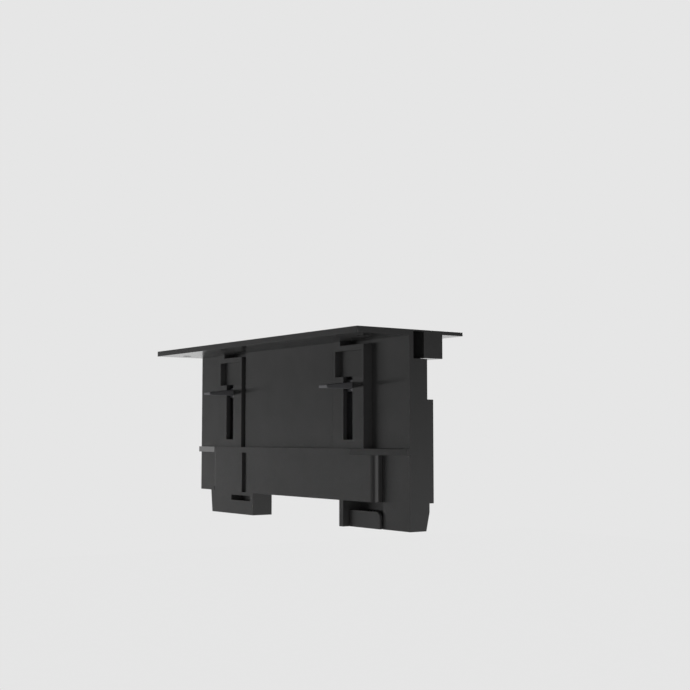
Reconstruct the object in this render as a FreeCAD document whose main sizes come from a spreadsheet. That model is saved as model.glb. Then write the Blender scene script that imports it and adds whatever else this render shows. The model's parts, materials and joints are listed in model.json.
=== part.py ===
import FreeCAD, Part
import os
import re
import Sketcher

# Furniture socket box that hangs under a worktop, in millimetres.
# X runs along its width, Y to the back, Z up. The origin is the middle of the flange's top face.
# Its front carries two sliding claws and a wiring cover, its back two sockets.

V = FreeCAD.Vector
# sides of the wire section that stands for a round spring wire
WIRE_SIDES = 6
# distance within which two places count as the same
NEAR = 1e-4
PLANE_ROLES = {"XY": "XY_Plane", "XZ": "XZ_Plane", "YZ": "YZ_Plane"}

# Driving sizes. Drops are measured down from the flange's underside, rises forward from the end faces.
SIZES = {
    # mounting flange with its corner lugs
    "flange_depth": 56.9,
    "flange_thick": 2.6,
    "flange_front": 27.1,
    "flange_corner": 0.5,
    "flange_lip": 1.6,
    "flange_skin": 0.6,
    "bolt_inset": 12,
    "bolt_span_y": 38,
    "bolt_offset": 2,
    "bolt_hole": 4.5,
    "lug_front": 7.8,
    "lug_back": 18,
    "lug_drop": 9.3,
    "lug_width": 11,
    # front shell
    "body_width": 180,
    "lower_drop": 22.8,
    "shoulder_drop": 26.7,
    "upper_depth": 9.5,
    "lower_depth": 12.7,
    "wall": 2.1,
    "guide_rise": 4.5,
    "guide_width": 23.2,
    "guide_inset": 38,
    "panel_rise": 3.2,
    "panel_gap": 1.9,
    "ledge_rise": 6.1,
    "ledge_thick": 2.8,
    "ledge_left": 25,
    "ledge_right": 35,
    "ledge_end": 1.5,
    "slot_width": 7,
    "slot_top": 15.9,
    "slot_margin": 3.8,
    "window_top": 4.4,
    "window_left": 9.8,
    "window_right": 10,
    "window_sink": 2.75,
    "notch_side": 6,
    "notch_drop": 2,
    "notch_sink": 6,
    "end_width": 18.6,
    "foot_drop": 11.5,
    "block_back": 10.4,
    "block_taper": 1.8,
    "block_shoulder": 3.6,
    # claws and the strips behind them
    "claw_reach": 13.4,
    "claw_root": 2.8,
    "claw_tip": 1.2,
    "claw_rest": 21.2,
    "head_width": 8.5,
    "head_step": 1.2,
    "head_thick": 3.8,
    "tip_round": 0.5,
    "strip_thick": 1,
    "strip_seat": 2,
    # wiring cover with its two feet
    "cover_gap": 3.9,
    "cover_edge": 0.8,
    "cover_round": 3,
    "foot_depth": 10.9,
    "hook_gap": 0.4,
    "hook_lean": 1.6,
    "hook_width": 42.5,
    "hook_upstand": 2,
    "hook_short": 0.7,
    "hook_slot_place": 21.2,
    "hook_slot_wide": 18.5,
    "hook_slot_drop": 1.4,
    "hook_slot_tall": 2.6,
    "hook_slot_deep": 6,
    "slit_place": 31.5,
    "slit_width": 4.4,
    "slit_foot": 0.2,
    "slit_sink": 1.6,
    "latch_room": 26,
    "cheek_thick": 3,
    "backing_thick": 1.6,
    "ear_thick": 1.5,
    "ear_tall": 3.9,
    "ear_front": 1.6,
    # latch tongue in the right foot
    "latch_drop": 4.1,
    "latch_sink": 3,
    "latch_thick": 1.5,
    "latch_corner": 2.5,
    "barrel_radius": 1.9,
    "pivot_up": 2.2,
    "pivot_back": 6.8,
    "pin_radius": 0.9,
    "pin_fit": 0.05,
    "pin_blind": 0.6,
    # rear shell with the sockets
    "housing_margin": 2.5,
    "housing_reach": 38,
    "housing_wall": 2,
    "housing_round": 3,
    "socket_gap": 7,
    "dish_radius": 19.4,
    "dish_wall": 0.9,
    "dish_depth": 17.5,
    "dish_floor": 1.6,
    "ring_wide": 2.6,
    "ring_thick": 1.6,
    "pin_span": 19,
    "pin_hole": 5.4,
    "clip_slot": 4.4,
    "clip_tall": 11,
    # contacts, carrier and shutters
    "carrier_thick": 6,
    "carrier_hole": 6,
    "bar_thick": 0.8,
    "bar_height": 8,
    "bar_margin": 6.5,
    "blade_inner": 2.5,
    "blade_tall": 6,
    "blade_long": 6.9,
    "leg_out": 11,
    "leg_width": 5,
    "leg_back": 6.3,
    "leg_deep": 5.5,
    "strap_height": 5.2,
    "clip_reach": 10,
    "shutter_width": 6.8,
    "shutter_tall": 26,
    "shutter_thick": 1.6,
    "shutter_travel": 6.2,
    "shutter_bay": 2.2,
    "spring_bay": 6.2,
    # terminals and cable entry
    "terminal_margin": 6.5,
    "terminal_under": 4.4,
    "terminal_tall": 10,
    "terminal_deep": 9.8,
    "terminal_screw": 2,
    "terminal_bore": 4,
    "terminal_step": 2.6,
    "cable_place": 8.5,
    "cable_back": 5.9,
    "cable_bore": 3.5,
    "grommet_neck": 4.4,
    "grommet_lip": 5.4,
    "lip_thick": 1,
    "clamp_span": 20,
    "clamp_post": 4,
    "clamp_gap": 1,
    "clamp_tall": 3.8,
    "clamp_thick": 1.6,
    "clamp_front": 1.1,
    # screws
    "screw_radius": 1.5,
    "screw_head": 2.6,
    "screw_head_tall": 1.6,
    "boss_radius": 2.4,
    "boss_deep": 8,
    "shell_screw_inset": 10,
    "shell_screw_high": 19,
    "shell_screw_up": 6.5,
    "flange_screw_in": 30,
    "flange_screw_inset": 20,
    # springs
    "coil_radius": 0.85,
    "coil_wire": 0.2,
    "coil_pitch": 1.6,
    # clearances
    "play": 0.3,
    "slide_gap": 0.15,
    "snug": 0.1,
}

# Places that follow from the driving sizes.
RULES = {
    "under": "-flange_thick",
    "half_body": "body_width / 2",
    "end_y": "flange_front - flange_depth / 2",
    "guide_y": "end_y - guide_rise",
    "panel_y": "end_y - panel_rise",
    "ledge_y": "end_y - ledge_rise",
    "inner_y": "end_y + wall",
    "upper_back": "end_y + upper_depth",
    "lower_back": "end_y + lower_depth",
    "back_in": "lower_back - wall",
    "plate_front": "upper_back - wall",
    "side_in": "half_body - wall",
    "ceiling": "under - wall",
    "dish_outer": "dish_radius + dish_wall",
    "ledge_drop": "2 * (dish_outer + snug + housing_wall + play) + wall",
    "ledge_z": "under - ledge_drop",
    "ledge_low": "ledge_z - ledge_thick",
    "body_low": "ledge_z - lower_drop",
    "foot_low": "body_low - foot_drop",
    "shoulder_z": "under - shoulder_drop",
    "lug_low": "under - lug_drop",
    "lug_in": "half_body - lug_width",
    "notch_in": "lug_in - play - wall",
    "notch_low": "lug_low - play - wall",
    "end_in": "half_body - end_width",
    "guide_centre": "half_body - guide_inset",
    "panel_half": "guide_centre - guide_width / 2 - panel_gap",
    "guide_half": "guide_width / 2",
    "slot_half": "slot_width / 2",
    "slot_z": "under - slot_top",
    "slot_low": "ledge_z + slot_margin",
    "window_z": "under - window_top",
    "claw_z": "under - claw_rest",
    "head_y": "wall + play",
    "cover_left": "end_in - cover_gap",
    "cover_right": "end_in - play",
    "hook_outer": "end_in - hook_gap",
    "hook_inner": "hook_outer - hook_width",
    "hook_low": "foot_low + hook_short",
    "hook_slot_outer": "hook_outer - hook_slot_place",
    "slit_outer": "hook_outer - slit_place",
    "cheek_inner": "end_in - latch_room",
    "foot_back": "guide_y + foot_depth",
    "cheek_outer": "cheek_inner + cheek_thick",
    "backing_y": "foot_back - backing_thick",
    "ear_outer": "end_in - play",
    "ear_inner": "ear_outer - ear_thick",
    "latch_left": "cheek_outer + play",
    "latch_y": "guide_y + latch_sink",
    "latch_back": "latch_y + latch_thick",
    "latch_z": "body_low - latch_drop",
    "pivot_y": "guide_y + pivot_back",
    "pivot_z": "foot_low + pivot_up",
    "barrel_end": "ear_inner - play",
    "housing_half": "socket_x + ring_radius + housing_margin",
    "housing_in": "housing_half - housing_wall",
    "housing_y": "end_y + housing_reach",
    "housing_top": "ceiling - play",
    "housing_low": "ledge_z + play",
    "ring_radius": "dish_radius + ring_wide",
    "socket_x": "ring_radius + socket_gap / 2",
    "socket_z": "(housing_top + housing_low) / 2",
    "dish_bottom": "ring_thick - dish_depth",
    "carrier_back": "housing_y + dish_bottom - dish_floor",
    "carrier_y": "carrier_back - carrier_thick",
    "bar_y": "carrier_y - bar_thick",
    "leg_place": "socket_x + leg_out",
    "leg_plane": "end_y + leg_back",
    "leg_low": "terminal_z - leg_deep",
    "leg_half": "leg_width / 2",
    "shutter_half": "shutter_width / 2",
    "bay_end": "shutter_half + shutter_travel + play",
    "spring_end": "bay_end + spring_bay",
    "terminal_half": "leg_place + terminal_margin",
    "terminal_z": "ledge_z - terminal_under",
    "terminal_low": "terminal_z - terminal_tall",
    "terminal_y": "back_in - terminal_deep",
    "cable_y": "back_in - cable_back",
    "clamp_y": "end_y + clamp_front",
    "clamp_low": "body_low + wall + lip_thick + clamp_gap",
    "clamp_high": "clamp_low + clamp_tall",
    "bolt_x": "half_body - bolt_inset",
    "shell_screw_x": "half_body - shell_screw_inset",
    "shell_screw_low": "ledge_drop - shell_screw_up",
    "flange_screw_out": "half_body - flange_screw_inset",
    "boss_y": "(inner_y + plate_front) / 2",
    "pilot": "screw_radius + pin_fit",
}

# Left and right, as the sign of X.
SIDES = ("-", "")
# The three poles at the terminals: live, earth, neutral.
POLES = ("-leg_place", "0", "leg_place")
# Places of the screws that hold the rear shell and the flange.
SHELL_SPOTS = [(side + "shell_screw_x", f"under - {drop}")
               for side in SIDES for drop in ("shell_screw_high", "shell_screw_low")]
FLANGE_SPOTS = [(side + across, "boss_y")
                for side in SIDES for across in ("flange_screw_in", "flange_screw_out")]
CLAMP_SPOTS = [(f"cable_place {side} clamp_span / 2", "(clamp_low + clamp_high) / 2") for side in ("-", "+")]

doc = FreeCAD.newDocument("socket_box")
sheet = doc.addObject("Spreadsheet::Sheet", "Sizes")
for row, (alias, number) in enumerate(SIZES.items(), start=1):
    sheet.set(f"A{row}", str(number))
    sheet.setAlias(f"A{row}", alias)
doc.recompute()

subparts = []


def spell(formula):
    """Writes a formula out in cells of the sheet, rule by rule."""
    def word(match):
        name = match.group()
        if name in SIZES:
            return "Sizes." + name
        return "(" + spell(RULES[name]) + ")"
    return re.sub(r"[a-z]\w*", word, formula)


def value(formula):
    return float(sheet.evalExpression(spell(formula)))


def bind(thing, prop, formula):
    thing.setExpression(prop, spell(formula))


def place(thing, x="0", y="0", z="0"):
    for axis, formula in zip("xyz", (x, y, z)):
        bind(thing, f"Placement.Base.{axis}", formula)


def new_body(name):
    body = doc.addObject("PartDesign::Body", name)
    body.Label = name
    subparts.append(body)
    return body


def rect(left, right, low, high):
    return [(left, low), (right, low), (right, high), (left, high)]


def circle(across, up, radius):
    return (across, up, radius)


def add_polygon(sketch, points):
    first = sketch.GeometryCount
    count = len(points)
    spots = [V(value(across), value(up), 0) for across, up in points]
    sketch.addGeometry([Part.LineSegment(spots[i], spots[(i + 1) % count]) for i in range(count)])
    sketch.addConstraint([
        Sketcher.Constraint("Coincident", first + i, 2, first + (i + 1) % count, 1) for i in range(count)])
    for i, formulas in enumerate(points):
        for kind, formula in zip(("DistanceX", "DistanceY"), formulas):
            index = sketch.addConstraint(Sketcher.Constraint(kind, -1, 1, first + i, 1, value(formula)))
            bind(sketch, f"Constraints[{index}]", formula)


def add_circle(sketch, across, up, radius):
    first = sketch.GeometryCount
    middle = V(value(across), value(up), 0)
    sketch.addGeometry(Part.Circle(middle, V(0, 0, 1), value(radius)))
    for kind, formula in (("DistanceX", across), ("DistanceY", up)):
        index = sketch.addConstraint(Sketcher.Constraint(kind, -1, 1, first, 3, value(formula)))
        bind(sketch, f"Constraints[{index}]", formula)
    index = sketch.addConstraint(Sketcher.Constraint("Radius", first, value(radius)))
    bind(sketch, f"Constraints[{index}]", radius)


def new_sketch(body, name, plane, offset, loops):
    """A sketch on one of the body's own origin planes, moved along that plane's normal."""
    sketch = body.newObject("Sketcher::SketchObject", name)
    support = [item for item in body.Origin.OriginFeatures if item.Role == PLANE_ROLES[plane]][0]
    sketch.AttachmentSupport = [(support, "")]
    sketch.MapMode = "FlatFace"
    bind(sketch, "AttachmentOffset.Base.z", offset)
    for loop in loops:
        if isinstance(loop, tuple):
            add_circle(sketch, *loop)
        else:
            add_polygon(sketch, loop)
    return sketch


def pad(body, name, plane, low, high, loops):
    """Adds a prism between two planes; the XZ plane's normal points to the front."""
    start = f"-({high})" if plane == "XZ" else low
    feature = body.newObject("PartDesign::Pad", name)
    feature.Profile = new_sketch(body, name + "_outline", plane, start, loops)
    bind(feature, "Length", f"({high}) - ({low})")
    doc.recompute()


def pocket(body, name, plane, low, high, loops):
    """Cuts a prism between two planes and makes sure that it took material away."""
    start = f"-({low})" if plane == "XZ" else high
    before = body.Shape.Volume
    feature = body.newObject("PartDesign::Pocket", name)
    feature.Profile = new_sketch(body, name + "_outline", plane, start, loops)
    bind(feature, "Length", f"({high}) - ({low})")
    doc.recompute()
    if body.Shape.Volume >= before:
        raise RuntimeError(f"{body.Label}: {name} cuts nothing")


def spin(body, name, plane, points):
    """Turns a profile about the upright axis of its sketch."""
    feature = body.newObject("PartDesign::Revolution", name)
    sketch = new_sketch(body, name + "_outline", plane, "0", [points])
    feature.Profile = sketch
    feature.ReferenceAxis = (sketch, ["V_Axis"])
    doc.recompute()


def round_edges(body, name, radius, along, spots):
    """Fillets the straight edges along one axis that stand at the given places."""
    across = [axis for axis in range(3) if axis != "xyz".index(along)]
    places = [[value(formula) for formula in spot] for spot in spots]
    chosen = []
    for number, edge in enumerate(body.Shape.Edges, start=1):
        ends = [vertex.Point for vertex in edge.Vertexes]
        for spot in places:
            if all(abs(end[axis] - goal) < NEAR for end in ends for axis, goal in zip(across, spot)):
                chosen.append(f"Edge{number}")
    base = body.Tip
    feature = body.newObject("PartDesign::Fillet", name)
    feature.Base = (base, chosen)
    bind(feature, "Radius", radius)
    doc.recompute()


def mounting_flange():
    body = new_body("mounting_flange")
    half_y = "flange_depth / 2"
    pad(body, "plate", "XY", "under", "0", [rect("-half_body", "half_body", "-" + half_y, half_y)])
    corners = [(x, y) for x in ("-half_body", "half_body") for y in ("-" + half_y, half_y)]
    round_edges(body, "plate_corners", "flange_corner", "z", corners)
    rear = rect("-half_body", "half_body", "end_y + lug_back", half_y)
    pocket(body, "rear_lip", "XY", "under", "-flange_lip", [rear])
    slots = [rect("lug_in - play", "half_body", "inner_y", "end_y + lug_front"),
             rect("-half_body", "-lug_in + play", "inner_y", "end_y + lug_front")]
    pocket(body, "lug_slots", "XY", "under", "-flange_skin", slots)
    lugs = [rect("lug_in", "half_body", "lug_low", "under"),
            rect("-half_body", "-lug_in", "lug_low", "under")]
    pad(body, "lugs", "XZ", "end_y + lug_front", "end_y + lug_back", lugs)
    bolts = [circle(f"{sx}bolt_x", f"bolt_offset {sy} bolt_span_y / 2", "bolt_hole / 2")
             for sx in SIDES for sy in ("-", "+")]
    pocket(body, "bolt_holes", "XY", "under", "0", bolts)
    pocket(body, "screw_holes", "XY", "under", "0", [circle(x, y, "pilot + snug") for x, y in FLANGE_SPOTS])
    sinks = [circle(x, y, "screw_head + snug") for x, y in FLANGE_SPOTS]
    pocket(body, "screw_sinks", "XY", "-screw_head_tall", "0", sinks)


def tray_outline(gap):
    """Outline of the space behind the front wall, with the upper corners left to the lugs."""
    side, inner = f"side_in - {gap}", f"notch_in - {gap}"
    low, step, top = f"ledge_z + {gap}", f"notch_low - {gap}", f"ceiling - {gap}"
    right = [(side, low), (side, step), (inner, step), (inner, top)]
    left = [(f"-({across})", up) for across, up in reversed(right)]
    return right + left


def front_shell():
    body = new_body("front_shell")
    side_view = [("end_y", "under"), ("upper_back", "under"), ("upper_back", "shoulder_z"),
                 ("lower_back", "shoulder_z"), ("lower_back", "body_low"), ("end_y", "body_low")]
    pad(body, "core", "YZ", "-half_body", "half_body", [side_view])
    guides = [rect(f"{side}guide_centre - guide_half", f"{side}guide_centre + guide_half", "ledge_z", "under")
              for side in SIDES]
    pad(body, "guides", "XZ", "guide_y", "inner_y", guides)
    pad(body, "panel", "XZ", "panel_y", "inner_y", [rect("-panel_half", "panel_half", "ledge_z", "under")])
    ledge_view = [("-half_body", "end_y - ledge_end"), ("-half_body + ledge_left", "ledge_y"),
                  ("half_body - ledge_right", "ledge_y"), ("half_body", "end_y - ledge_end"),
                  ("half_body", "inner_y"), ("-half_body", "inner_y")]
    pad(body, "ledge", "XY", "ledge_low", "ledge_z", [ledge_view])
    block_rear = "end_y + block_back"
    block_view = [("end_y", "body_low"), (block_rear, "body_low"),
                  (block_rear, "body_low - block_shoulder"),
                  (f"{block_rear} - block_taper", "foot_low"), ("end_y", "foot_low")]
    pad(body, "foot_block", "YZ", "end_in", "half_body", [block_view])

    pocket(body, "upper_space", "XZ", "inner_y", "lower_back", [tray_outline("0")])
    channel_sides = [(f"{side}guide_centre - guide_half + wall", f"{side}guide_centre + guide_half - wall")
                     for side in SIDES]
    channels = [rect(left, right, "ledge_z", "slot_z") for left, right in channel_sides]
    pocket(body, "claw_channels", "XZ", "guide_y + wall", "inner_y", channels)
    cores = [rect(left, right, "slot_z + wall", "window_z") for left, right in channel_sides]
    pocket(body, "guide_cores", "XZ", "guide_y + window_sink + wall", "inner_y", cores)
    panel_in = "panel_half - wall"
    pocket(body, "panel_back", "XZ", "panel_y + wall", "inner_y",
           [rect(f"-({panel_in})", panel_in, "ledge_z", "ceiling")])
    pocket(body, "wiring_space", "XZ", "end_y", "back_in",
           [rect("-end_in", "end_in", "foot_low", "ledge_low")])
    end_cores = [rect("end_in + wall", "side_in", "body_low + wall", "ledge_low"),
                 rect("-side_in", "-end_in - wall", "body_low + wall", "ledge_low")]
    pocket(body, "end_cores", "XZ", "inner_y", "lower_back", end_cores)
    lug_rooms = [rect("lug_in - play", "half_body", "lug_low - play", "under"),
                 rect("-half_body", "-lug_in + play", "lug_low - play", "under")]
    pocket(body, "lug_rooms", "XZ", "inner_y", "lower_back", lug_rooms)
    windows = [rect(f"{side}guide_centre - window_left", f"{side}guide_centre + window_right",
                    "slot_z", "window_z") for side in SIDES]
    pocket(body, "windows", "XZ", "guide_y", "guide_y + window_sink", windows)
    slots = [rect(f"{side}guide_centre - slot_half", f"{side}guide_centre + slot_half",
                  "slot_low", "slot_z") for side in SIDES]
    pocket(body, "slots", "XZ", "guide_y", "guide_y + wall", slots)
    notches = [rect(f"{side}guide_centre - notch_side", f"{side}guide_centre + guide_half",
                    "under - notch_drop", "under") for side in SIDES]
    pocket(body, "top_notches", "XZ", "guide_y", "guide_y + notch_sink", notches)
    passages = [rect(f"{spot} - leg_half - wall", f"{spot} + leg_half + wall",
                     "leg_plane - wall", "leg_plane + bar_thick + play")
                for spot in POLES]
    pocket(body, "leg_passages", "XY", "ledge_low", "ledge_z", passages)

    pad(body, "shell_bosses", "XZ", "inner_y", "plate_front",
        [circle(x, z, "boss_radius") for x, z in SHELL_SPOTS])
    pocket(body, "shell_pilots", "XZ", "inner_y", "plate_front",
           [circle(x, z, "pilot") for x, z in SHELL_SPOTS])
    pad(body, "flange_bosses", "XY", "ceiling - boss_deep", "ceiling",
        [circle(x, y, "boss_radius") for x, y in FLANGE_SPOTS])
    pocket(body, "flange_pilots", "XY", "ceiling - boss_deep", "under",
           [circle(x, y, "pilot") for x, y in FLANGE_SPOTS])
    posts = [rect(f"{x} - clamp_post / 2", f"{x} + clamp_post / 2", "clamp_low", "clamp_high")
             for x, z in CLAMP_SPOTS]
    pad(body, "clamp_posts", "XZ", "clamp_y", "back_in", posts)
    pocket(body, "clamp_pilots", "XZ", "clamp_y", "back_in", [circle(x, z, "pilot") for x, z in CLAMP_SPOTS])


def rear_shell():
    body = new_body("rear_shell")
    pad(body, "plate", "XZ", "plate_front", "upper_back", [tray_outline("play")])
    outside = rect("-housing_half", "housing_half", "housing_low", "housing_top")
    pad(body, "housing", "XZ", "upper_back", "housing_y", [outside])
    corners = [(x, z) for x in ("-housing_half", "housing_half") for z in ("housing_low", "housing_top")]
    round_edges(body, "housing_corners", "housing_round", "y", corners)
    inside = rect("-housing_in", "housing_in", "housing_low + housing_wall", "housing_top - housing_wall")
    pocket(body, "housing_space", "XZ", "plate_front", "housing_y - housing_wall", [inside])
    mouths = [circle(f"{side}socket_x", "socket_z", "dish_outer + snug") for side in SIDES]
    pocket(body, "dish_mouths", "XZ", "housing_y - housing_wall", "housing_y", mouths)
    spots = [circle(x, z, "pilot + snug") for x, z in SHELL_SPOTS]
    pocket(body, "screw_holes", "XZ", "plate_front", "upper_back", spots)


def lower_cover():
    """Wiring cover: a shallow box that is open to the top and the back."""
    body = new_body("lower_cover")
    pad(body, "front", "XZ", "guide_y", "back_in",
        [rect("-cover_left", "cover_right", "body_low", "ledge_low")])
    inside = rect("-cover_left + wall", "cover_right - wall", "body_low + wall", "ledge_z")
    pocket(body, "inside", "XZ", "guide_y + wall", "back_in", [inside])
    slit = rect("-slit_outer", "-slit_outer + slit_width", "body_low + slit_foot", "ledge_z")
    pocket(body, "slit", "XZ", "guide_y", "guide_y + slit_sink", [slit])
    round_edges(body, "left_edge", "cover_edge", "z", [("-cover_left", "guide_y")])
    round_edges(body, "right_round", "cover_round", "z", [("cover_right", "guide_y")])
    lip = [circle("cable_place", "cable_y", "grommet_lip + snug")]
    pocket(body, "grommet_seat", "XY", "body_low", "body_low + lip_thick", lip)
    neck = [circle("cable_place", "cable_y", "grommet_neck + snug")]
    pocket(body, "grommet_hole", "XY", "body_low", "body_low + wall", neck)


def hook_foot():
    """Left foot under the cover, with a blind slot for a fixed hook."""
    body = new_body("hook_foot")
    outline = [("-hook_outer", "body_low + hook_upstand"), ("-cover_left", "body_low + hook_upstand"),
               ("-cover_left", "body_low"), ("-hook_inner", "body_low"), ("-hook_inner", "hook_low"),
               ("-hook_outer + hook_lean", "hook_low")]
    pad(body, "block", "XZ", "guide_y", "foot_back", [outline])
    top = "body_low - hook_slot_drop"
    slot = rect("-hook_slot_outer", "-hook_slot_outer + hook_slot_wide", f"{top} - hook_slot_tall", top)
    pocket(body, "slot", "XZ", "guide_y", "guide_y + hook_slot_deep", [slot])


def latch_foot():
    """Right foot under the cover: a cheek and a back wall that carry the latch on its pin."""
    body = new_body("latch_foot")
    pad(body, "cheek", "XZ", "guide_y", "foot_back",
        [rect("cheek_inner", "cheek_outer", "foot_low", "body_low")])
    pad(body, "backing", "XZ", "backing_y", "foot_back",
        [rect("cheek_inner", "ear_outer", "foot_low", "body_low")])
    pad(body, "ear", "XZ", "pivot_y - ear_front", "backing_y",
        [rect("ear_inner", "ear_outer", "foot_low", "foot_low + ear_tall")])
    pin = [circle("pivot_y", "pivot_z", "pin_radius")]
    pocket(body, "pin_blind", "YZ", "cheek_inner + pin_blind", "cheek_outer", pin)
    pocket(body, "pin_through", "YZ", "ear_inner", "ear_outer", pin)


def cover_latch():
    body = new_body("cover_latch")
    pad(body, "tongue", "YZ", "latch_left", "ear_outer",
        [rect("latch_y", "latch_back", "foot_low", "latch_z")])
    round_edges(body, "tongue_corner", "latch_corner", "y", [("ear_outer", "latch_z")])
    web = rect("latch_y", "pivot_y", "pivot_z - pin_radius", "pivot_z + pin_radius")
    pad(body, "web", "YZ", "latch_left", "barrel_end", [web])
    pad(body, "barrel", "YZ", "latch_left", "barrel_end", [circle("pivot_y", "pivot_z", "barrel_radius")])
    pocket(body, "bore", "YZ", "latch_left", "barrel_end",
           [circle("pivot_y", "pivot_z", "pin_radius + pin_fit")])


def latch_pin():
    body = new_body("latch_pin")
    pad(body, "rod", "YZ", "cheek_inner + pin_blind", "ear_outer",
        [circle("pivot_y", "pivot_z", "pin_radius")])


def claw(name, side):
    """One fixing claw: a wedge with a flat underside, and a head wider than the slot it runs in."""
    body = new_body(name)
    tongue_half = "slot_half - slide_gap"
    wedge = [("-claw_reach", "0"), ("head_y", "0"), ("head_y", "claw_root"), ("0", "claw_root"),
             ("-claw_reach", "claw_tip")]
    pad(body, "tongue", "YZ", f"-({tongue_half})", tongue_half, [wedge])
    tips = [(f"-({tongue_half})", "-claw_reach"), (tongue_half, "-claw_reach")]
    round_edges(body, "tips", "tip_round", "z", tips)
    pad(body, "head", "XZ", "head_y", "head_y + head_thick",
        [rect("-head_width / 2", "head_width / 2", "-head_step", "claw_root + head_step")])
    place(body, f"{side}guide_centre", "guide_y", "claw_z")


def guide_plate(name, side):
    """Steel strip that lies on the front wall's inside and traps a claw's head."""
    body = new_body(name)
    half = "guide_half - wall + strip_seat"
    pad(body, "strip", "XZ", "inner_y", "inner_y + strip_thick",
        [rect(f"-({half})", half, "ledge_z + play", "window_z")])
    place(body, f"{side}guide_centre")


def socket(name, side):
    """One dished insert, turned about its own axis; its ring lies on the housing's back."""
    body = new_body(name)
    under_floor = "dish_bottom - dish_floor"
    profile = [("dish_radius", "ring_thick"), ("ring_radius", "ring_thick"), ("ring_radius", "0"),
               ("dish_outer", "0"), ("dish_outer", under_floor), ("0", under_floor),
               ("0", "dish_bottom"), ("dish_radius", "dish_bottom")]
    spin(body, "dish", "XY", profile)
    holes = [circle("0", f"{up}pin_span / 2", "pin_hole / 2") for up in ("-", "")]
    pocket(body, "pin_holes", "XZ", under_floor, "dish_bottom", holes)
    inner, outer = "dish_radius - wall", "dish_outer + play"
    slots = [rect(inner, outer, "-clip_slot / 2", "clip_slot / 2"),
             rect(f"-({outer})", f"-({inner})", "-clip_slot / 2", "clip_slot / 2")]
    pocket(body, "clip_slots", "XZ", under_floor, under_floor + " + clip_tall", slots)
    place(body, f"{side}socket_x", "housing_y", "socket_z")


def contact_carrier():
    body = new_body("contact_carrier")
    low, high = "housing_low + housing_wall + play", "housing_top - housing_wall - play"
    pad(body, "block", "XZ", "carrier_y", "carrier_back", [rect("-housing_in", "housing_in", low, high)])
    holes = [circle(f"{side}socket_x", f"socket_z {up} pin_span / 2", "carrier_hole / 2")
             for side in SIDES for up in ("-", "+")]
    pocket(body, "pin_holes", "XZ", "carrier_y", "carrier_back", holes)
    bays = []
    for side in SIDES:
        start = f"{side}socket_x - shutter_half - play"
        step = f"{side}socket_x + bay_end"
        stop = f"{side}socket_x + spring_end"
        low, coil_low = "socket_z - shutter_tall / 2 - play", "socket_z - shutter_bay / 2 - snug"
        high, coil_high = "socket_z + shutter_tall / 2 + play", "socket_z + shutter_bay / 2 + snug"
        bays.append([(start, low), (step, low), (step, coil_low), (stop, coil_low),
                     (stop, coil_high), (step, coil_high), (step, high), (start, high)])
    pocket(body, "shutter_bays", "XZ", "carrier_back - shutter_bay", "carrier_back", bays)
    slots = []
    for side in SIDES:
        for clip in ("-", "+"):
            middle = f"{side}socket_x {clip} dish_radius"
            slots.append(rect(f"{middle} - bar_thick", f"{middle} + bar_thick",
                              "socket_z - clip_slot / 2", "socket_z + clip_slot / 2"))
    pocket(body, "clip_slots", "XZ", "carrier_y", "carrier_back", slots)


def shutter(name, side):
    body = new_body(name)
    front = "carrier_back - shutter_bay + play"
    pad(body, "slide", "XZ", front, f"{front} + shutter_thick",
        [rect("-shutter_half", "shutter_half", "-shutter_tall / 2", "shutter_tall / 2")])
    place(body, f"{side}socket_x", "0", "socket_z")


def busbar(name, side, up):
    """Brass bar behind the pin holes of both sockets, with its blades and its leg to the terminal."""
    body = new_body(name)
    middle = f"(socket_z {up} pin_span / 2)"
    leg = f"{side}leg_place"
    far = "socket_x + bar_margin"
    ends = ["-leg_place - leg_half", far] if side == "-" else [f"-({far})", "leg_place + leg_half"]
    bar = rect(ends[0], ends[1], f"{middle} - bar_height / 2", f"{middle} + bar_height / 2")
    holes = [circle(f"{spot}socket_x", middle, "blade_inner - snug") for spot in SIDES]
    pad(body, "bar", "XZ", "bar_y", "carrier_y", [bar] + holes)
    blades = []
    for spot in SIDES:
        for grip in ("-", "+"):
            inner = f"{spot}socket_x {grip} blade_inner"
            outer = f"{inner} {grip} bar_thick"
            blades.append(rect(inner, outer, f"{middle} - blade_tall / 2", f"{middle} + blade_tall / 2"))
    pad(body, "blades", "XZ", "bar_y - blade_long", "bar_y", blades)
    left, right, jog = f"{leg} - leg_half", f"{leg} + leg_half", f"{middle} - bar_height / 2"
    pad(body, "leg_jog", "XZ", "leg_plane", "bar_y", [rect(left, right, jog, f"{jog} + bar_thick")])
    pad(body, "leg_low", "XZ", "leg_plane", "leg_plane + bar_thick", [rect(left, right, "leg_low", jog)])


def earth_strap():
    """Strap between the two bars, with side clips that reach into both dishes."""
    body = new_body("earth_strap")
    end = "socket_x + dish_radius + bar_thick"
    low, high = "socket_z - strap_height / 2", "socket_z + strap_height / 2"
    pad(body, "strap", "XZ", "bar_y", "carrier_y", [rect(f"-({end})", end, low, high)])
    clips = []
    for side in SIDES:
        for clip in ("-", "+"):
            middle = f"{side}socket_x {clip} dish_radius"
            clips.append(rect(f"{middle} - bar_thick / 2", f"{middle} + bar_thick / 2",
                              "socket_z - clip_slot / 2 + play", "socket_z + clip_slot / 2 - play"))
    pad(body, "clips", "XZ", "carrier_y", "carrier_back + clip_reach", clips)
    pad(body, "leg_jog", "XZ", "leg_plane", "bar_y",
        [rect("-leg_half", "leg_half", low, f"{low} + bar_thick")])
    pad(body, "leg_low", "XZ", "leg_plane", "leg_plane + bar_thick",
        [rect("-leg_half", "leg_half", "leg_low", low)])


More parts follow.
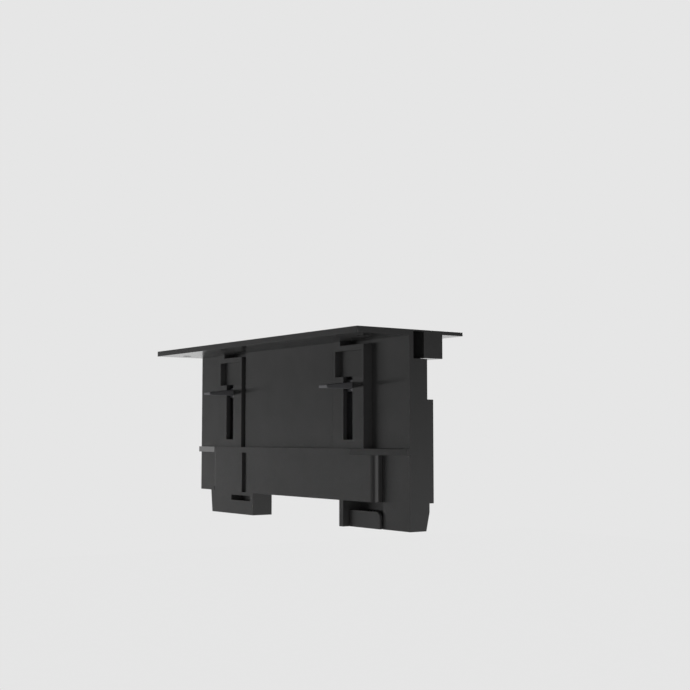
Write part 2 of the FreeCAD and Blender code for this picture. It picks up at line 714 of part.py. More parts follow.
def terminal_block():
    body = new_body("terminal_block")
    pad(body, "block", "XZ", "terminal_y", "back_in",
        [rect("-terminal_half", "terminal_half", "terminal_low", "terminal_z")])
    slots = [rect(f"{pole} - leg_half - play", f"{pole} + leg_half + play", "leg_plane - play",
                  "leg_plane + bar_thick + play") for pole in POLES]
    pocket(body, "leg_slots", "XY", "leg_low - play", "terminal_z", slots)
    middle = "(terminal_z + terminal_low) / 2"
    bores = [circle(pole, f"{middle} {up} terminal_step", "terminal_screw + snug")
             for pole in POLES for up in ("-", "+")]
    pocket(body, "screw_bores", "XZ", "terminal_y", "terminal_y + terminal_bore", bores)


def screw(name, x, y, z, turn, shank):
    """One screw about the local Z axis: shank down from zero, head above it."""
    stem = doc.addObject("Part::Cylinder", name + "_stem")
    bind(stem, "Radius", "screw_radius")
    bind(stem, "Height", shank)
    bind(stem, "Placement.Base.z", f"-({shank})")
    head = doc.addObject("Part::Cylinder", name + "_head")
    bind(head, "Radius", "screw_head")
    bind(head, "Height", "screw_head_tall")
    whole = doc.addObject("Part::Fuse", name)
    whole.Base = stem
    whole.Tool = head
    whole.Placement.Rotation = turn
    place(whole, x, y, z)
    return whole


def screw_group(name, spots, turn, shank):
    group = doc.addObject("Part::Compound", name)
    group.Label = name
    group.Links = [screw(f"{name}_{i}", *spot, turn, shank) for i, spot in enumerate(spots)]
    subparts.append(group)


UPRIGHT = FreeCAD.Rotation()
HEAD_BACK = FreeCAD.Rotation(V(1, 0, 0), -90)
HEAD_FRONT = FreeCAD.Rotation(V(1, 0, 0), 90)


def terminal_screws():
    """Six clamping screws, each sunk in its bore of the terminal block."""
    group = doc.addObject("Part::Compound", "terminal_screws")
    group.Label = "terminal_screws"
    links = []
    for pole in POLES:
        for up in ("-", "+"):
            stud = doc.addObject("Part::Cylinder", "clamping_screw")
            bind(stud, "Radius", "terminal_screw")
            bind(stud, "Height", "terminal_bore - play")
            stud.Placement.Rotation = HEAD_FRONT
            height = f"(terminal_z + terminal_low) / 2 {up} terminal_step"
            place(stud, pole, "terminal_y + terminal_bore", height)
            links.append(stud)
    group.Links = links
    subparts.append(group)


def cable_grommet():
    body = new_body("cable_grommet")
    top = "wall + lip_thick"
    profile = [("cable_bore", "0"), ("grommet_lip", "0"), ("grommet_lip", "lip_thick"),
               ("grommet_neck", "lip_thick"), ("grommet_neck", "wall"), ("grommet_lip", "wall"),
               ("grommet_lip", top), ("cable_bore", top)]
    spin(body, "ring", "XZ", profile)
    place(body, "cable_place", "cable_y", "body_low")


def cable_clamp():
    body = new_body("cable_clamp")
    half = "(clamp_span / 2 + clamp_post / 2)"
    pad(body, "bar", "XZ", "clamp_y - clamp_thick", "clamp_y",
        [rect(f"cable_place - {half}", f"cable_place + {half}", "clamp_low", "clamp_high")])
    holes = [circle(x, z, "pilot + snug") for x, z in CLAMP_SPOTS]
    pocket(body, "holes", "XZ", "clamp_y - clamp_thick", "clamp_y", holes)


def coil(name, spot, turn, length):
    """A compression spring swept along its helix, between two faces that lie the given length apart."""
    path = doc.addObject("Part::Helix", name + "_path")
    bind(path, "Radius", "coil_radius")
    bind(path, "Pitch", "coil_pitch")
    bind(path, "Height", f"{length} - 2 * (coil_wire + snug)")
    wire = doc.addObject("Part::RegularPolygon", name + "_wire")
    wire.Polygon = WIRE_SIDES
    bind(wire, "Circumradius", "coil_wire")
    wire.Placement.Rotation = FreeCAD.Rotation(V(1, 0, 0), 90)
    bind(wire, "Placement.Base.x", "coil_radius")
    spring = doc.addObject("Part::Sweep", name)
    spring.Label = name
    spring.Sections = [wire]
    spring.Spine = (path, [])
    spring.Solid = True
    spring.Frenet = True
    spring.Placement.Rotation = turn
    place(spring, *spot)
    subparts.append(spring)


ALONG_X = FreeCAD.Rotation(V(0, 1, 0), 90)

mounting_flange()
front_shell()
rear_shell()
lower_cover()
hook_foot()
latch_foot()
cover_latch()
latch_pin()
for hand, sign in (("left", "-"), ("right", "")):
    claw(f"{hand}_claw", sign)
    guide_plate(f"{hand}_guide_plate", sign)
    socket(f"{hand}_socket", sign)
    shutter(f"{hand}_shutter", sign)
    spring_start = (f"{sign}socket_x + shutter_half + coil_wire + snug",
                    "carrier_back - shutter_bay / 2", "socket_z")
    coil(f"{hand}_shutter_spring", spring_start, ALONG_X, "(spring_end - shutter_half)")
contact_carrier()
busbar("live_busbar", "-", "+")
busbar("neutral_busbar", "", "-")
earth_strap()
terminal_block()
terminal_screws()
cable_grommet()
cable_clamp()
screw_group("clamp_screws", [(x, "clamp_y - clamp_thick", z) for x, z in CLAMP_SPOTS], HEAD_FRONT,
            "boss_deep")
screw_group("shell_screws", [(x, "upper_back", z) for x, z in SHELL_SPOTS], HEAD_BACK,
            "upper_back - inner_y - play")
screw_group("flange_screws", [(x, y, "-screw_head_tall") for x, y in FLANGE_SPOTS], UPRIGHT, "boss_deep")
latch_spot = ("(cheek_outer + ear_inner) / 2", "latch_back + coil_wire + snug",
              "latch_z - coil_radius - coil_wire - snug")
coil("latch_spring", latch_spot, HEAD_BACK, "(backing_y - latch_back)")

doc.recompute()
for item in doc.Objects:
    if "Invalid" in item.State or "Error" in item.State:
        raise RuntimeError(f"{item.Name} failed: {item.State}")
for item in subparts:
    if item.Shape.isNull() or not item.Shape.isValid():
        raise RuntimeError(f"{item.Label} has no valid shape")

os.makedirs("parts", exist_ok=True)
for item in subparts:
    item.Shape.exportStep(os.path.join("parts", item.Label + ".step"))
    print(item.Label, len(item.Shape.Solids), round(item.Shape.Volume, 1))
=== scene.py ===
import json
import math

import bmesh
import bpy
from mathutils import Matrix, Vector


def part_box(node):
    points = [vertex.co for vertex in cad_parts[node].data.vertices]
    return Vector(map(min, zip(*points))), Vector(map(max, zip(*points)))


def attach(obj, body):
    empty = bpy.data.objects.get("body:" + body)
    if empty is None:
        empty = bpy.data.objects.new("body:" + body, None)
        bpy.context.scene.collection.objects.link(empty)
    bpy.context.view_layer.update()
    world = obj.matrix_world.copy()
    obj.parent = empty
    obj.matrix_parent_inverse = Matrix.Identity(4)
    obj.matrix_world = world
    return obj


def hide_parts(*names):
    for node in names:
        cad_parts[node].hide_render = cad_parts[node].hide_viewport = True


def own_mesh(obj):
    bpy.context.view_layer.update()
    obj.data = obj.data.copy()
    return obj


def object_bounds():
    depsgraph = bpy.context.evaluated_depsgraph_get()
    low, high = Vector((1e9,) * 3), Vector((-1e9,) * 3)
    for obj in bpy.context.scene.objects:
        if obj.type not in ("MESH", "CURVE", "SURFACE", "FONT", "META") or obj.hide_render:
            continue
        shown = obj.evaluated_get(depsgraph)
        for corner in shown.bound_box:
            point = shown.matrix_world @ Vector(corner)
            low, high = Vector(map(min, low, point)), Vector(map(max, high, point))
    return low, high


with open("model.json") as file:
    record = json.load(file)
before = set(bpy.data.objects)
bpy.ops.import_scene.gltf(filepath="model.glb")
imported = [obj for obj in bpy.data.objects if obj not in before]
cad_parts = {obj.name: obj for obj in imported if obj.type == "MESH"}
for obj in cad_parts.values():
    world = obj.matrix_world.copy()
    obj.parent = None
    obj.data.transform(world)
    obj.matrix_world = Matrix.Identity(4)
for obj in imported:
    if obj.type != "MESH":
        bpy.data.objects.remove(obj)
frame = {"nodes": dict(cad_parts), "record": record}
cad_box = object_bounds()

# Furniture socket box that hangs under a worktop, dressed in its real finishes.
# Lengths are metres, written as millimetres times MM. X is the width, Y the back, Z up.
MM = 0.001
record = frame["record"]
body_of = {node: body for body, nodes in record["behaviour"]["bodies"].items() for node in nodes}
slot_of = {entry["node"]: entry["material_slot"] for entry in record["subparts"]}

# picture frame and camera of the product view
PICTURE_PIXELS = 690
FOCAL_PIXELS = 1166
SENSOR = 36
CAMERA_PLACE = (470.4 * MM, -305.85 * MM, -45.0 * MM)
CAMERA_TURN = 54.5
CAMERA_PITCH = 4.5

# softboxes: place, width, height, power in watts, and whether smooth faces may show their picture
SOFTBOXES = {
    "left_softbox": ((-0.827, -0.694, -0.09), 0.8, 0.05, 16.0, False),
    "right_softbox": ((0.97, -0.36, -0.15), 0.9, 0.7, 2.0, True),
    "back_softbox": ((-0.4, 1.0, 0.3), 0.9, 0.6, 12.0, True),
}
FLOOR_DROP = 650 * MM
FLOOR_HALF = 6.0
FLOOR_SPECK = 40 * MM

# softened edges of the moulded pieces
MOULD_EDGE = 0.22 * MM
INSERT_EDGE = 0.3 * MM
EDGE_STEPS = 2
SHARP_ANGLE = math.radians(35)
FLAT_ANGLE = math.radians(0.5)
MERGE = 0.001 * MM
# a shallow fold stays crisp where both of its faces are broad
FOLD_ANGLE = math.radians(3)
FOLD_BREADTH = 4 * MM

# screws
HEAD_RADIUS = 2.6 * MM
HEAD_TALL = 1.6 * MM
SHANK_RADIUS = 1.5 * MM
STUD_RADIUS = 2.0 * MM
SCREW_SIDES = 32
RECESS_WIDTH = 0.75 * MM
RECESS_DEPTH = 0.9 * MM
RECESS_SPAN = 1.15  # of the head's radius

# springs
WIRE_RADIUS = 0.2 * MM
WIRE_SIDES = 10
COIL_PITCH = 1.6 * MM
COIL_STEPS = 24

# turns of what is made about the upright axis
QUARTER = math.radians(90)
HEADS_UP = (0, 0, 0)
HEADS_BACK = (-QUARTER, 0, 0)
HEADS_FRONT = (QUARTER, 0, 0)
ALONG_X = (0, QUARTER, 0)


def linear(code):
    """Linear colour of an sRGB hex value."""
    parts = [int(code[i:i + 2], 16) / 255 for i in (0, 2, 4)]
    return tuple(p / 12.92 if p <= 0.04045 else ((p + 0.055) / 1.055) ** 2.4 for p in parts) + (1.0,)


def add(tree, kind, inputs=None, **settings):
    """Adds a node with its settings; an input takes a value or the output that it is linked to."""
    made = tree.nodes.new(kind)
    for name, setting in settings.items():
        setattr(made, name, setting)
    for name, given in (inputs or {}).items():
        if isinstance(given, bpy.types.NodeSocket):
            tree.links.new(given, made.inputs[name])
        else:
            made.inputs[name].default_value = given
    return made


def put(name, data):
    """A new object in the scene."""
    made = bpy.data.objects.new(name, data)
    bpy.context.scene.collection.objects.link(made)
    return made


def new_material(name):
    """An empty material with its node tree and the object coordinates that its pattern reads."""
    material = bpy.data.materials.new(name)
    material.use_nodes = True
    tree = material.node_tree
    tree.nodes.clear()
    return material, tree, add(tree, "ShaderNodeTexCoord").outputs["Object"]


def moulded_polycarbonate():
    """Black polycarbonate from a fine-ground mould: satin, with a grain that softens what it mirrors."""
    grain = 0.35 * MM  # the real grain is about 0.05 mm and is drawn coarser so that it shows
    cloud = 14 * MM
    material, tree, place = new_material("moulded_polycarbonate")
    pebbles = add(tree, "ShaderNodeTexNoise", {"Vector": place, "Scale": 1 / grain, "Detail": 3.0})
    drift = add(tree, "ShaderNodeTexNoise", {"Vector": place, "Scale": 1 / cloud, "Detail": 2.0})
    tint = add(tree, "ShaderNodeValToRGB", {"Fac": drift.outputs["Fac"]})
    tint.color_ramp.elements[0].color = linear("333333")
    tint.color_ramp.elements[1].color = linear("3a3a3a")
    sheen = add(tree, "ShaderNodeMapRange", {"Value": pebbles.outputs["Fac"], "To Min": 0.2, "To Max": 0.28})
    relief = add(tree, "ShaderNodeBump", {
        "Height": pebbles.outputs["Fac"], "Strength": 0.12, "Distance": 0.05 * MM})
    surface = add(tree, "ShaderNodeBsdfPrincipled", {
        "Base Color": tint.outputs["Color"], "Roughness": sheen.outputs["Result"],
        "Normal": relief.outputs["Normal"], "IOR": 1.5})
    add(tree, "ShaderNodeOutputMaterial", {"Surface": surface.outputs["BSDF"]})
    return material


def satin_polycarbonate():
    """Black polycarbonate from a smoother mould: the socket inserts show a soft, broad gloss."""
    ripple = 3 * MM
    material, tree, place = new_material("satin_polycarbonate")
    waves = add(tree, "ShaderNodeTexNoise", {"Vector": place, "Scale": 1 / ripple, "Detail": 2.0})
    sheen = add(tree, "ShaderNodeMapRange", {"Value": waves.outputs["Fac"], "To Min": 0.24, "To Max": 0.34})
    relief = add(tree, "ShaderNodeBump", {
        "Height": waves.outputs["Fac"], "Strength": 0.05, "Distance": 0.05 * MM})
    surface = add(tree, "ShaderNodeBsdfPrincipled", {
        "Base Color": linear("232324"), "Roughness": sheen.outputs["Result"],
        "Normal": relief.outputs["Normal"], "IOR": 1.58})
    add(tree, "ShaderNodeOutputMaterial", {"Surface": surface.outputs["BSDF"]})
    return material


def urea_moulding():
    """Pale grey urea resin, pressed: a hard, dull body with faint flow marks."""
    flow = 6 * MM
    material, tree, place = new_material("urea_moulding")
    marks = add(tree, "ShaderNodeTexNoise", {"Vector": place, "Scale": 1 / flow, "Detail": 4.0})
    tint = add(tree, "ShaderNodeValToRGB", {"Fac": marks.outputs["Fac"]})
    tint.color_ramp.elements[0].color = linear("b9b8b2")
    tint.color_ramp.elements[1].color = linear("cbcac4")
    surface = add(tree, "ShaderNodeBsdfPrincipled", {
        "Base Color": tint.outputs["Color"], "Roughness": 0.5, "IOR": 1.6})
    add(tree, "ShaderNodeOutputMaterial", {"Surface": surface.outputs["BSDF"]})
    return material


def rolled_brass():
    """Cold-rolled brass strip: warm metal with faint lines along the rolling direction."""
    line = 0.2 * MM  # real lines are about 0.03 mm wide and are drawn coarser so that they show
    stretch = (0.04, 1.0, 1.0)
    material, tree, place = new_material("rolled_brass")
    along = add(tree, "ShaderNodeMapping", {"Vector": place, "Scale": stretch})
    lines = add(tree, "ShaderNodeTexNoise", {
        "Vector": along.outputs["Vector"], "Scale": 1 / line, "Detail": 2.0})
    sheen = add(tree, "ShaderNodeMapRange", {"Value": lines.outputs["Fac"], "To Min": 0.25, "To Max": 0.42})
    surface = add(tree, "ShaderNodeBsdfPrincipled", {
        "Base Color": linear("d8b66a"), "Metallic": 1.0, "Roughness": sheen.outputs["Result"]})
    add(tree, "ShaderNodeOutputMaterial", {"Surface": surface.outputs["BSDF"]})
    return material


def blackened_steel():
    """Steel with a dry black phosphate skin: dull and chalky, with crystals that break up the gloss."""
    crystal = 0.3 * MM  # real crystals are about 0.02 mm and are drawn coarser so that they show
    material, tree, place = new_material("blackened_steel")
    skin = add(tree, "ShaderNodeTexVoronoi", {"Vector": place, "Scale": 1 / crystal})
    sheen = add(tree, "ShaderNodeMapRange", {
        "Value": skin.outputs["Distance"], "To Min": 0.75, "To Max": 0.9})
    surface = add(tree, "ShaderNodeBsdfPrincipled", {
        "Base Color": linear("59595b"), "Roughness": sheen.outputs["Result"], "Specular IOR Level": 0.1})
    add(tree, "ShaderNodeOutputMaterial", {"Surface": surface.outputs["BSDF"]})
    return material


def drawn_steel():
    """Drawn and zinc-plated steel: bright, slightly cool metal with fine streaks."""
    streak = 0.15 * MM  # real streaks are about 0.02 mm and are drawn coarser so that they show
    material, tree, place = new_material("drawn_steel")
    streaks = add(tree, "ShaderNodeTexNoise", {"Vector": place, "Scale": 1 / streak, "Detail": 1.0})
    sheen = add(tree, "ShaderNodeMapRange", {"Value": streaks.outputs["Fac"], "To Min": 0.22, "To Max": 0.36})
    surface = add(tree, "ShaderNodeBsdfPrincipled", {
        "Base Color": linear("c3c4c8"), "Metallic": 1.0, "Roughness": sheen.outputs["Result"]})
    add(tree, "ShaderNodeOutputMaterial", {"Surface": surface.outputs["BSDF"]})
    return material


def soft_rubber():
    """Black EPDM rubber: very matt, with a dusty bloom."""
    bloom = 2 * MM
    material, tree, place = new_material("soft_rubber")
    dust = add(tree, "ShaderNodeTexNoise", {"Vector": place, "Scale": 1 / bloom, "Detail": 4.0})
    tint = add(tree, "ShaderNodeValToRGB", {"Fac": dust.outputs["Fac"]})
    tint.color_ramp.elements[0].color = linear("1c1c1c")
    tint.color_ramp.elements[1].color = linear("262626")
    surface = add(tree, "ShaderNodeBsdfPrincipled", {
        "Base Color": tint.outputs["Color"], "Roughness": 0.8, "IOR": 1.5})
    add(tree, "ShaderNodeOutputMaterial", {"Surface": surface.outputs["BSDF"]})
    return material


finishes = {
    "black_moulding": moulded_polycarbonate(),
    "black_insert": satin_polycarbonate(),
    "inner_moulding": urea_moulding(),
    "brass_strip": rolled_brass(),
    "blackened_steel": blackened_steel(),
    "spring_steel": drawn_steel(),
    "soft_rubber": soft_rubber(),
}


def new_piece(name, mesh, node):
    """A new object with a CAD node's finish."""
    mesh.materials.clear()
    mesh.materials.append(finishes[slot_of[node]])
    return put(name, mesh)


def settle(piece, *nodes):
    """The finished piece rides on its nodes' body and stands for them."""
    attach(piece, body_of[nodes[0]])
    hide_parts(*nodes)


def is_fold(edge):
    """Whether an edge is a shallow fold between two broad flat faces, as on the front of the ledge."""
    if len(edge.link_faces) != 2:
        return False
    breadth = min(face.calc_area() for face in edge.link_faces) / edge.calc_length()
    return breadth > FOLD_BREADTH and FOLD_ANGLE < edge.calc_face_angle() < SHARP_ANGLE


def one_skin(mesh):
    """Joins the faces of a mesh into one skin, with each flat face in one piece."""
    skin = bmesh.new()
    skin.from_mesh(mesh)
    bmesh.ops.remove_doubles(skin, verts=skin.verts, dist=MERGE)
    bmesh.ops.dissolve_limit(skin, angle_limit=FLAT_ANGLE, verts=skin.verts, edges=skin.edges)
    for face in skin.faces:
        face.smooth = True
    for edge in skin.edges:
        edge.smooth = True
    skin.to_mesh(mesh)
    skin.free()
    return mesh


def node_skin(node):
    """A CAD node's mesh as one skin."""
    return one_skin(frame["nodes"][node].data.copy())


def plain_mesh(piece):
    """The mesh of an object with its modifiers worked in."""
    seen = piece.evaluated_get(bpy.context.evaluated_depsgraph_get())
    return bpy.data.meshes.new_from_object(seen)


def soften(piece, width):
    """Rounds the edges as a mould or a file leaves them, and keeps the flats flat to the eye."""
    rounding = piece.modifiers.new("mould_edges", "BEVEL")
    rounding.width = width
    rounding.segments = EDGE_STEPS
    rounding.limit_method = "ANGLE"
    rounding.angle_limit = SHARP_ANGLE
    mesh = plain_mesh(piece)
    piece.modifiers.remove(rounding)
    skin = bmesh.new()
    skin.from_mesh(mesh)
    bmesh.ops.dissolve_degenerate(skin, dist=MERGE, edges=skin.edges)
    for edge in skin.edges:
        edge.smooth = not is_fold(edge)
    skin.to_mesh(mesh)
    skin.free()
    piece.data = mesh
    shading = piece.modifiers.new("flat_shading", "WEIGHTED_NORMAL")
    shading.keep_sharp = True


def softened(node, width):
    """A CAD node with softened edges."""
    piece = new_piece(node + "_piece", node_skin(node), node)
    soften(piece, width)
    settle(piece, node)


def wiring_cover():
    """The cover and its two feet are one moulding, so their meshes are united."""
    nodes = ("lower_cover", "hook_foot", "latch_foot")
    pieces = [new_piece(node + "_part", node_skin(node), node) for node in nodes]
    whole = pieces[0]
    for foot in pieces[1:]:
        union = whole.modifiers.new("union", "BOOLEAN")
        union.operation = "UNION"
        union.solver = "EXACT"
        union.object = foot
    piece = new_piece("wiring_cover_moulding", one_skin(plain_mesh(whole)), nodes[0])
    for part in pieces:
        bpy.data.objects.remove(part)
    soften(piece, MOULD_EDGE)
    settle(piece, *nodes)


def new_tree(name, inputs):
    """A geometry tree with a geometry input and output and its named sizes."""
    tree = bpy.data.node_groups.new(name, "GeometryNodeTree")
    tree.interface.new_socket("Geometry", in_out="INPUT", socket_type="NodeSocketGeometry")
    for label, kind in inputs.items():
        tree.interface.new_socket(label, in_out="INPUT", socket_type=kind)
    tree.interface.new_socket("Geometry", in_out="OUTPUT", socket_type="NodeSocketGeometry")
    return tree, add(tree, "NodeGroupInput").outputs


def screw_tree():
    """Screws on points: a round head with a cross recess, and a plain shank below it."""
    tree, sizes = new_tree("recessed_screws", {
        "Head Radius": "NodeSocketFloat", "Head Height": "NodeSocketFloat",
        "Shank Radius": "NodeSocketFloat", "Shank Length": "NodeSocketFloat",
        "Recess Width": "NodeSocketFloat", "Recess Depth": "NodeSocketFloat",
        "Turn": "NodeSocketRotation", "Material": "NodeSocketMaterial"})
    half = add(tree, "ShaderNodeMath", {0: sizes["Head Height"], 1: 0.5}, operation="MULTIPLY")
    lift = add(tree, "ShaderNodeCombineXYZ", {"Z": half.outputs[0]})
    head = add(tree, "GeometryNodeMeshCylinder", {
        "Vertices": SCREW_SIDES, "Radius": sizes["Head Radius"], "Depth": sizes["Head Height"]})
    cut = add(tree, "GeometryNodeTransform", {
        "Geometry": head.outputs["Mesh"], "Translation": lift.outputs[0]})
    arm = add(tree, "ShaderNodeMath", {0: sizes["Head Radius"], 1: RECESS_SPAN}, operation="MULTIPLY")
    # the bars stand half above the head, so they are twice as tall as the recess is deep
    deep = add(tree, "ShaderNodeMath", {0: sizes["Recess Depth"], 1: 2.0}, operation="MULTIPLY")
    long_bar = add(tree, "ShaderNodeCombineXYZ", {
        "X": arm.outputs[0], "Y": sizes["Recess Width"], "Z": deep.outputs[0]})
    cross_bar = add(tree, "ShaderNodeCombineXYZ", {
        "X": sizes["Recess Width"], "Y": arm.outputs[0], "Z": deep.outputs[0]})
    top = add(tree, "ShaderNodeCombineXYZ", {"Z": sizes["Head Height"]})
    for bar in (long_bar, cross_bar):
        tool = add(tree, "GeometryNodeMeshCube", {"Size": bar.outputs[0]})
        tool_up = add(tree, "GeometryNodeTransform", {
            "Geometry": tool.outputs["Mesh"], "Translation": top.outputs[0]})
        cut = add(tree, "GeometryNodeMeshBoolean", {0: cut.outputs[0], 1: tool_up.outputs[0]},
                  operation="DIFFERENCE", solver="EXACT")
    down = add(tree, "ShaderNodeMath", {0: sizes["Shank Length"], 1: -0.5}, operation="MULTIPLY")
    drop = add(tree, "ShaderNodeCombineXYZ", {"Z": down.outputs[0]})
    shank = add(tree, "GeometryNodeMeshCylinder", {
        "Vertices": SCREW_SIDES, "Radius": sizes["Shank Radius"], "Depth": sizes["Shank Length"]})
    shank_down = add(tree, "GeometryNodeTransform", {
        "Geometry": shank.outputs["Mesh"], "Translation": drop.outputs[0]})
    screw = add(tree, "GeometryNodeMeshBoolean", {1: cut.outputs[0]}, operation="UNION", solver="EXACT")
    tree.links.new(shank_down.outputs[0], screw.inputs[1])
    spread = add(tree, "GeometryNodeInstanceOnPoints", {
        "Points": sizes["Geometry"], "Instance": screw.outputs[0], "Rotation": sizes["Turn"]})
    real = add(tree, "GeometryNodeRealizeInstances", {"Geometry": spread.outputs[0]})
    dressed = add(tree, "GeometryNodeSetMaterial", {
        "Geometry": real.outputs[0], "Material": sizes["Material"]})
    add(tree, "NodeGroupOutput", {"Geometry": dressed.outputs[0]})
    return tree


def spring_tree():
    """A round wire wound along a helix on the tree's own Z axis, turned and carried to each point."""
    tree, sizes = new_tree("wound_spring", {
        "Coil Radius": "NodeSocketFloat", "Wire Radius": "NodeSocketFloat", "Length": "NodeSocketFloat",
        "Pitch": "NodeSocketFloat", "Turn": "NodeSocketRotation", "Material": "NodeSocketMaterial"})
    turns = add(tree, "ShaderNodeMath", {0: sizes["Length"], 1: sizes["Pitch"]}, operation="DIVIDE")
    helix = add(tree, "GeometryNodeCurveSpiral", {
        "Resolution": COIL_STEPS, "Rotations": turns.outputs[0], "Start Radius": sizes["Coil Radius"],
        "End Radius": sizes["Coil Radius"], "Height": sizes["Length"]})
    wire = add(tree, "GeometryNodeCurvePrimitiveCircle", {
        "Resolution": WIRE_SIDES, "Radius": sizes["Wire Radius"]})
    coil = add(tree, "GeometryNodeCurveToMesh", {
        "Curve": helix.outputs[0], "Profile Curve": wire.outputs[0], "Fill Caps": True})
    round_coil = add(tree, "GeometryNodeSetShadeSmooth", {"Geometry": coil.outputs[0]})
    spread = add(tree, "GeometryNodeInstanceOnPoints", {
        "Points": sizes["Geometry"], "Instance": round_coil.outputs[0], "Rotation": sizes["Turn"]})
    real = add(tree, "GeometryNodeRealizeInstances", {"Geometry": spread.outputs[0]})
    dressed = add(tree, "GeometryNodeSetMaterial", {
        "Geometry": real.outputs[0], "Material": sizes["Material"]})
    add(tree, "NodeGroupOutput", {"Geometry": dressed.outputs[0]})
    return tree


def grown(name, tree, points, node, **sizes):
    """Runs a geometry tree on points and keeps its result as a plain mesh."""
    mesh = bpy.data.meshes.new(name)
    mesh.from_pydata(points, [], [])
    seed = put(name + "_seed", mesh)
    maker = seed.modifiers.new("tree", "NODES")
    maker.node_group = tree
    sockets = [item for item in tree.interface.items_tree if item.in_out == "INPUT"]
    identifiers = {item.name: item.identifier for item in sockets}
    maker[identifiers["Material"]] = finishes[slot_of[node]]
    for label, size in sizes.items():
        maker[identifiers[label.replace("_", " ").title()]] = size
    piece = new_piece(name, plain_mesh(seed), node)
    bpy.data.objects.remove(seed)
    settle(piece, node)
    return piece


def solid_boxes(node):
    """Lowest and highest corner of each separate solid of a CAD node."""
    skin = bmesh.new()
    skin.from_mesh(frame["nodes"][node].data)
    bmesh.ops.remove_doubles(skin, verts=skin.verts, dist=MERGE)
    left = set(skin.verts)
    boxes = []
    for first in skin.verts:
        if first not in left:
            continue
        left.remove(first)
        group = [first]
        for vert in group:
            for edge in vert.link_edges:
                other = edge.other_vert(vert)
                if other in left:
                    left.remove(other)
                    group.append(other)
        corners = [[pick(vert.co[i] for vert in group) for i in range(3)] for pick in (min, max)]
        boxes.append((Vector(corners[0]), Vector(corners[1])))
    skin.free()
    return boxes


def screws(node, toward, head_radius, shank_radius, turn):
    """Screws of one group, all of one length; toward is the axis and sense in which their heads point."""
    axis, sense = toward
    boxes = solid_boxes(node)
    seats = []
    for low, high in boxes:
        seat = (low + high) / 2
        seat[axis] = (high[axis] if sense > 0 else low[axis]) - sense * HEAD_TALL
        seats.append(seat)
    low, high = boxes[0]
    grown(node + "_set", screw_geometry, seats, node, head_radius=head_radius, head_height=HEAD_TALL,
          shank_radius=shank_radius, shank_length=high[axis] - low[axis] - HEAD_TALL,
          recess_width=RECESS_WIDTH, recess_depth=RECESS_DEPTH, turn=turn)


def spring(node, axis, turn):
    """A spring wound to fill its CAD part's box."""
    low, high = (Vector(corner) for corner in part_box(node))
    start = (low + high) / 2
    start[axis] = low[axis] + WIRE_RADIUS
    across = (axis + 1) % 3
    coil_radius = (high[across] - low[across]) / 2 - WIRE_RADIUS
    piece = grown(node + "_coil", spring_geometry, [start], node, coil_radius=coil_radius,
                  wire_radius=WIRE_RADIUS, length=high[axis] - low[axis] - 2 * WIRE_RADIUS,
                  pitch=COIL_PITCH, turn=turn)
    anchor = start.copy()
    anchor[axis] = high[axis]
    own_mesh(piece)


for node, made in frame["nodes"].items():
    made.data.materials.clear()
    made.data.materials.append(finishes[slot_of[node]])

for node in ("mounting_flange", "front_shell", "rear_shell", "cover_latch", "left_claw", "right_claw"):
    softened(node, MOULD_EDGE)
for node in ("left_socket", "right_socket"):
    softened(node, INSERT_EDGE)
wiring_cover()

screw_geometry = screw_tree()
spring_geometry = spring_tree()
screws("shell_screws", (1, 1), HEAD_RADIUS, SHANK_RADIUS, HEADS_BACK)
screws("flange_screws", (2, 1), HEAD_RADIUS, SHANK_RADIUS, HEADS_UP)
screws("clamp_screws", (1, -1), HEAD_RADIUS, SHANK_RADIUS, HEADS_FRONT)
screws("terminal_screws", (1, -1), STUD_RADIUS, STUD_RADIUS, HEADS_FRONT)
for hand in ("left", "right"):
    spring(hand + "_shutter_spring", 0, ALONG_X)
spring("latch_spring", 1, HEADS_BACK)


def looked_at(tree):
    """One for rays of the camera and for reflections, zero for light that falls on the object."""
    ray = add(tree, "ShaderNodeLightPath")
    return add(tree, "ShaderNodeMath", {0: ray.outputs["Is Camera Ray"], 1: ray.outputs["Is Glossy Ray"]},
               operation="MAXIMUM").outputs[0]


def pale_floor():
    """Wide pale floor well below the box, which hangs from its flange."""
    level = cad_box[0][2] - FLOOR_DROP
    corners = [(x * FLOOR_HALF, y * FLOOR_HALF, level) for x, y in ((-1, -1), (1, -1), (1, 1), (-1, 1))]
    mesh = bpy.data.meshes.new("floor")
    mesh.from_pydata(corners, [], [(0, 1, 2, 3)])
    floor = put("floor", mesh)
    material, tree, place = new_material("painted_floor")
    speck = add(tree, "ShaderNodeTexNoise", {"Vector": place, "Scale": 1 / FLOOR_SPECK, "Detail": 2.0})
    tint = add(tree, "ShaderNodeValToRGB", {"Fac": speck.outputs["Fac"]})
    tint.color_ramp.elements[0].color = linear("e5e5e5")
    tint.color_ramp.elements[1].color = linear("e6e6e6")
    surface = add(tree, "ShaderNodeBsdfPrincipled", {"Base Color": tint.outputs["Color"], "Roughness": 0.8})
    shown = add(tree, "ShaderNodeEmission", {"Color": tint.outputs["Color"], "Strength": 1.0})
    mixed = add(tree, "ShaderNodeMixShader", {
        "Fac": looked_at(tree), 1: surface.outputs["BSDF"], 2: shown.outputs["Emission"]})
    add(tree, "ShaderNodeOutputMaterial", {"Surface": mixed.outputs["Shader"]})
    mesh.materials.append(material)
    floor.visible_glossy = False


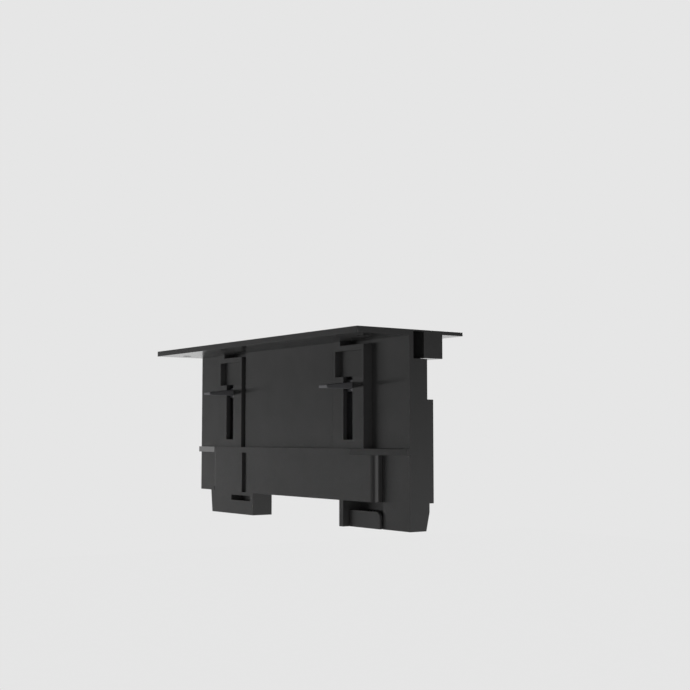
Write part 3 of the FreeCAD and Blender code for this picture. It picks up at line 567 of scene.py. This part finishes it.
def soft_world():
    """Grey light, stronger from below, and a pale backdrop.

    Smooth faces mirror the backdrop as in a studio: palest low on the left, dimmer above, dark in front.
    """
    world = bpy.data.worlds.new("studio")
    world.use_nodes = True
    tree = world.node_tree
    tree.nodes.clear()
    place = add(tree, "ShaderNodeTexCoord")
    toward = add(tree, "ShaderNodeSeparateXYZ", {"Vector": place.outputs["Generated"]})
    ambient = add(tree, "ShaderNodeMapRange", {
        "Value": toward.outputs["Z"], "From Min": -0.3, "From Max": 0.3, "To Min": 0.4, "To Max": 0.05})
    aside = add(tree, "ShaderNodeMapRange", {
        "Value": toward.outputs["Y"], "From Min": -0.5, "From Max": -0.2, "To Min": 0.07, "To Max": 1.0})
    height = add(tree, "ShaderNodeMapRange", {
        "Value": toward.outputs["Z"], "From Min": -0.07, "From Max": 0.08, "To Min": 1.8, "To Max": 0.4})
    across = add(tree, "ShaderNodeMapRange", {
        "Value": toward.outputs["X"], "From Min": -0.3, "From Max": 0.3, "To Min": 0.77, "To Max": 0.57})
    mirrored = aside
    for factor in (height, across):
        mirrored = add(tree, "ShaderNodeMath", {0: mirrored.outputs[0], 1: factor.outputs[0]},
                       operation="MULTIPLY")
    ray = add(tree, "ShaderNodeLightPath")
    pale = add(tree, "ShaderNodeMix", {
        "Factor": ray.outputs["Is Camera Ray"], "A": mirrored.outputs[0], "B": 1.0})
    light = add(tree, "ShaderNodeBackground", {
        "Color": linear("ffffff"), "Strength": ambient.outputs["Result"]})
    backdrop = add(tree, "ShaderNodeBackground", {
        "Color": linear("e6e6e6"), "Strength": pale.outputs["Result"]})
    mixed = add(tree, "ShaderNodeMixShader", {
        "Fac": looked_at(tree), 1: light.outputs[0], 2: backdrop.outputs[0]})
    add(tree, "ShaderNodeOutputWorld", {"Surface": mixed.outputs[0]})
    bpy.context.scene.world = world


def softbox(name, place, wide, tall, power, mirrored):
    """A rectangular lamp that is aimed at the middle of the box."""
    middle = (Vector(cad_box[0]) + Vector(cad_box[1])) / 2
    data = bpy.data.lights.new(name, "AREA")
    data.shape = "RECTANGLE"
    data.size = wide
    data.size_y = tall
    data.energy = power
    lamp = put(name, data)
    lamp.location = place
    lamp.visible_glossy = mirrored
    lamp.rotation_euler = (middle - Vector(place)).to_track_quat("-Z", "Y").to_euler()


def product_camera():
    """Camera that looks slightly up at the right front corner of the box."""
    data = bpy.data.cameras.new("product_camera")
    data.sensor_width = SENSOR
    data.lens = SENSOR * FOCAL_PIXELS / PICTURE_PIXELS
    data.clip_start = 1 * MM
    camera = put("product_camera", data)
    camera.location = CAMERA_PLACE
    camera.rotation_euler = (math.radians(90 + CAMERA_PITCH), 0, math.radians(CAMERA_TURN))
    bpy.context.scene.camera = camera


pale_floor()
soft_world()
for name, setup in SOFTBOXES.items():
    softbox(name, *setup)
product_camera()
bpy.context.scene.view_settings.view_transform = "Standard"
